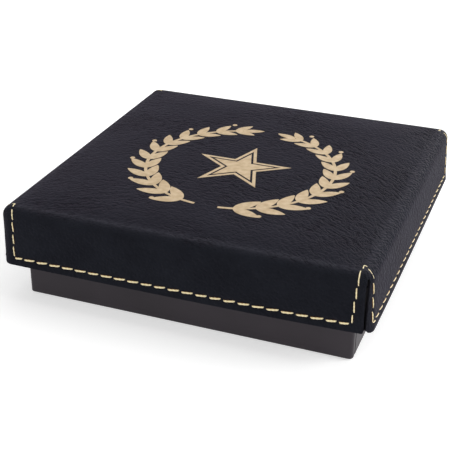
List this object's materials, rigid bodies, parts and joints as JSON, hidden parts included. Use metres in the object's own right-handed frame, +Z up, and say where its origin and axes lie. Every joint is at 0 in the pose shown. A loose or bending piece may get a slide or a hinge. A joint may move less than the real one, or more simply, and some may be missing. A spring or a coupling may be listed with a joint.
{
  "type": "medallion presentation box",
  "caption": "Square two-piece presentation box: a stitched leatherette lid telescopes over a paper-wrapped tray with a foam insert recessed for a medallion",
  "frame": {"origin": "middle of the underside of the base", "axes": "+Z up, the way the lid lifts; front of the box faces -Y; +X to the right seen from the front"},
  "size_m": [0.1022, 0.1022, 0.0276],
  "materials": {
    "leatherette": "black leatherette with a fine wrinkled grain, satin",
    "sewing_thread": "pale gold polyester sewing thread",
    "greyboard": "raw dark grey board",
    "stay_paper": "black paper strip, glued",
    "black_paper": "black covering paper with a faint laid texture",
    "bottom_paper": "plain black paper",
    "insert_foam": "black foam",
    "insert_velour": "black foam faced with short velour"
  },
  "bodies": {
    "base": {"base_board": "greyboard", "base_corner_stays": "stay_paper", "base_wrap": "black_paper", "base_bottom_paper": "bottom_paper", "base_floor_lining": "black_paper"},
    "insert": {"insert_backing_sheet": "insert_foam", "insert_top_sheet": "insert_velour"},
    "lid": {"lid_cover": "leatherette", "lid_board": "greyboard", "lid_corner_stays": "stay_paper", "lid_lining": "black_paper", "front_hem_stitches": "sewing_thread", "back_hem_stitches": "sewing_thread", "left_hem_stitches": "sewing_thread", "right_hem_stitches": "sewing_thread", "front_left_corner_stitches": "sewing_thread", "front_right_corner_stitches": "sewing_thread", "back_left_corner_stitches": "sewing_thread", "back_right_corner_stitches": "sewing_thread"}
  },
  "joints": [
    {"name": "insert_lift", "type": "slide", "parent": "base", "child": "insert", "axis": [0, 0, 1], "range_m": [0, 0.025]},
    {"name": "lid_lift", "type": "slide", "parent": "insert", "child": "lid", "axis": [0, 0, 1], "range_m": [0, 0.08]}
  ]
}
